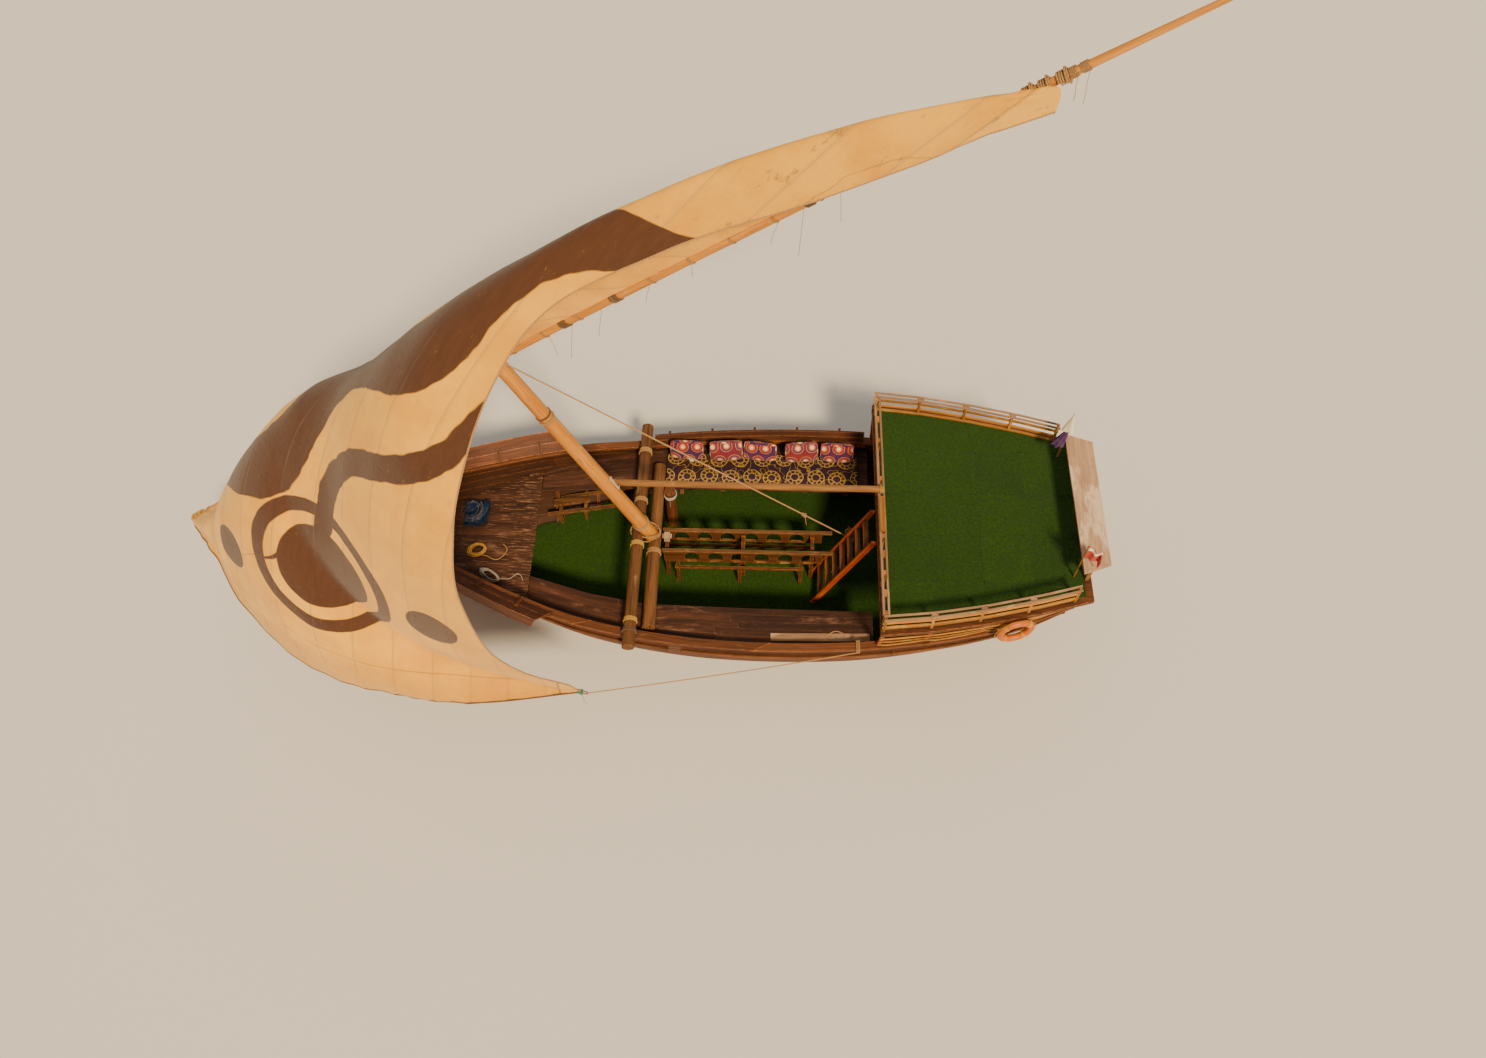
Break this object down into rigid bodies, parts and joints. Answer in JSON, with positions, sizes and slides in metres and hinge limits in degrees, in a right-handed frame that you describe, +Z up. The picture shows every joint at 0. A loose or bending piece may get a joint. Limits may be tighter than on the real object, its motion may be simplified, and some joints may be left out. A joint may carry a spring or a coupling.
{
  "type": "dhow sailing boat",
  "caption": "Open wooden lateen-rigged dhow with a raised after deck, forward-leaning mast, one long yard and a bellied triangular sail.",
  "frame": {"origin": "on the waterline, on the centreline, amidships", "axes": "+X to the bow, +Y to port, +Z up from the water"},
  "size_m": [15.9485, 6.1106, 13.4703],
  "materials": {
    "planks": "oiled, weathered",
    "timber": "oiled, weathered",
    "deck": "worn",
    "spar": "bare, weathered",
    "pale_wood": "bare, weathered",
    "weathered_wood": "bleached, scratched",
    "red_wood": "worn paint",
    "turf": "tufted",
    "seat_cloth": "printed cotton",
    "sailcloth": "coarse canvas",
    "blue_cloth": "woven plastic",
    "rope": "laid fibre",
    "orange_plastic": "sun-faded",
    "iron": "rusted"
  },
  "bodies": {
    "hull": {"planking_port": "planks", "planking_starboard": "planks", "transom": "planks", "keel": "timber", "stem": "timber", "sternpost": "timber", "frames": "timber", "gunwale_port": "timber", "gunwale_starboard": "timber", "wale_port": "timber", "wale_starboard": "timber", "bulwark_port": "planks", "bulwark_starboard": "planks", "foredeck": "deck", "side_deck_port": "deck", "side_deck_starboard": "deck", "floor_boards": "deck", "hold_turf": "turf", "hold_bench": "timber", "mast": "spar", "crossbeam": "timber", "mast_beam": "timber", "bitt_post": "timber", "pole": "pale_wood", "seat_pad": "seat_cloth", "pillow_1": "seat_cloth", "pillow_2": "seat_cloth", "pillow_3": "seat_cloth", "pillow_4": "seat_cloth", "pillow_5": "seat_cloth", "rack_board_port": "timber", "rack_board_starboard": "timber", "rack_frame": "timber", "cleat_block": "weathered_wood", "ladder": "red_wood", "halyard_bitt": "timber", "halyard": "rope", "poop_frame": "timber", "poop_deck": "pale_wood", "poop_turf": "turf", "poop_rail_port": "pale_wood", "poop_rail_starboard": "pale_wood", "poop_rail_front": "pale_wood", "stern_board": "weathered_wood", "stern_rail": "pale_wood", "quarter_frame_port": "red_wood", "quarter_frame_starboard": "red_wood", "life_ring": "orange_plastic", "staff_port": "pale_wood", "staff_starboard": "pale_wood", "gudgeon_lower": "iron", "gudgeon_upper": "iron", "rope_coil_yellow": "rope", "rope_coil_grey": "rope", "folded_tarp": "blue_cloth"},
    "rudder": {"rudder": "timber", "tiller": "timber"},
    "yard": {"yard": "spar", "parrel": "rope", "sail": "sailcloth"}
  },
  "joints": [
    {"name": "rudder_turn", "type": "hinge", "parent": "hull", "child": "rudder", "pos_m": [-5.8932, 0, -0.0187], "axis": [-0.4158, 0, 0.9095], "range_deg": [-35, 35]},
    {"name": "yard_swing", "type": "hinge", "parent": "hull", "child": "yard", "pos_m": [1.08, 0, 0.985], "axis": [0.3678, 0, 0.9299], "range_deg": [-35, 35]}
  ]
}
